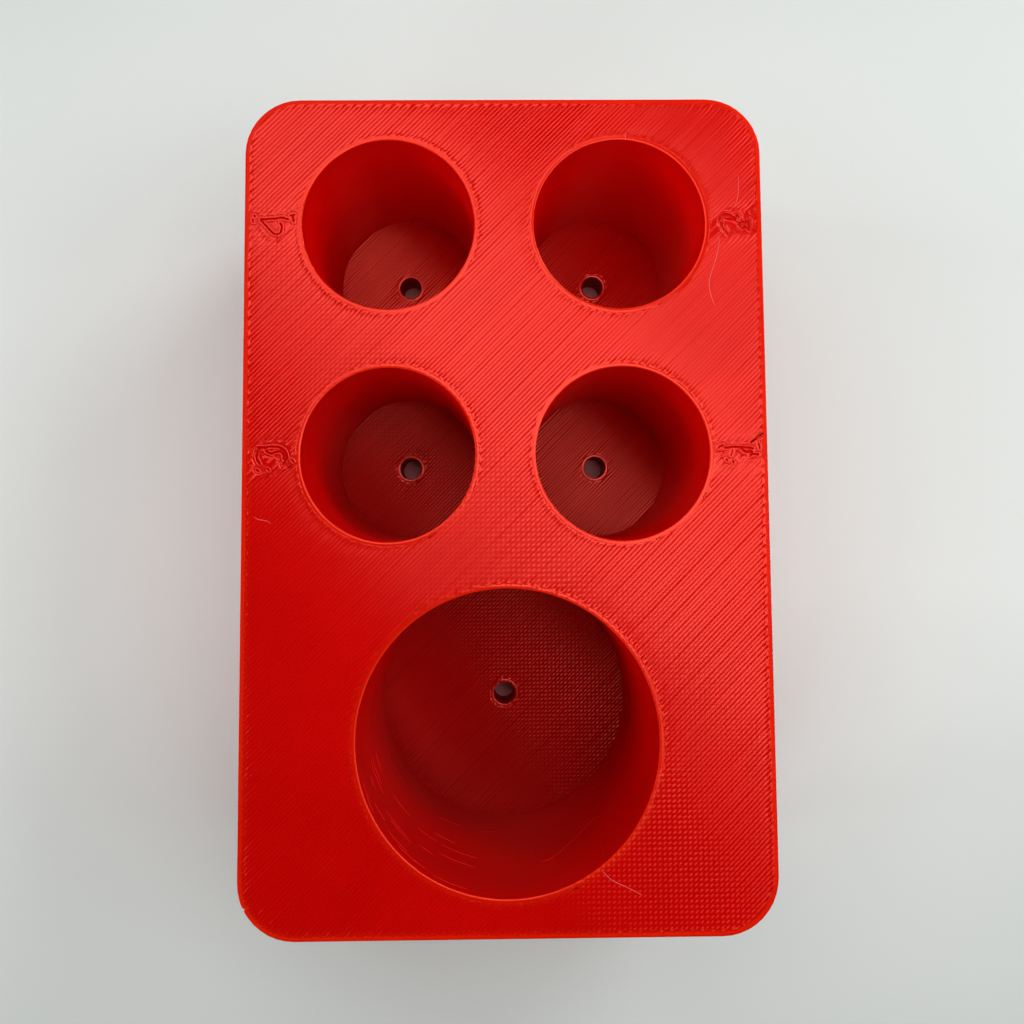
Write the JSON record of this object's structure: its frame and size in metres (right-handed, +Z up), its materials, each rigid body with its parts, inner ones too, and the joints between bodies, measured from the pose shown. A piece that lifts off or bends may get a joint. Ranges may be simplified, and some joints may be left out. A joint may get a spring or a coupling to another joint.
{
  "type": "centrifuge tube rack",
  "caption": "Small printed block rack with round blind bores for standing centrifuge tubes, a small drain hole through each bore floor and rounded upright corners.",
  "frame": {"origin": "centre of the block's underside, the face it stands on", "axes": "+Z up, out of the bore mouths; +Y along the block towards the small bores; +X across it, to the right when seen from above with the small bores at the far end"},
  "size_m": [0.054, 0.0856, 0.04],
  "materials": {
    "printed_plastic": "red filament, satin, with fine print lines"
  },
  "bodies": {
    "root": {"rack_body": "printed_plastic"}
  },
  "joints": []
}
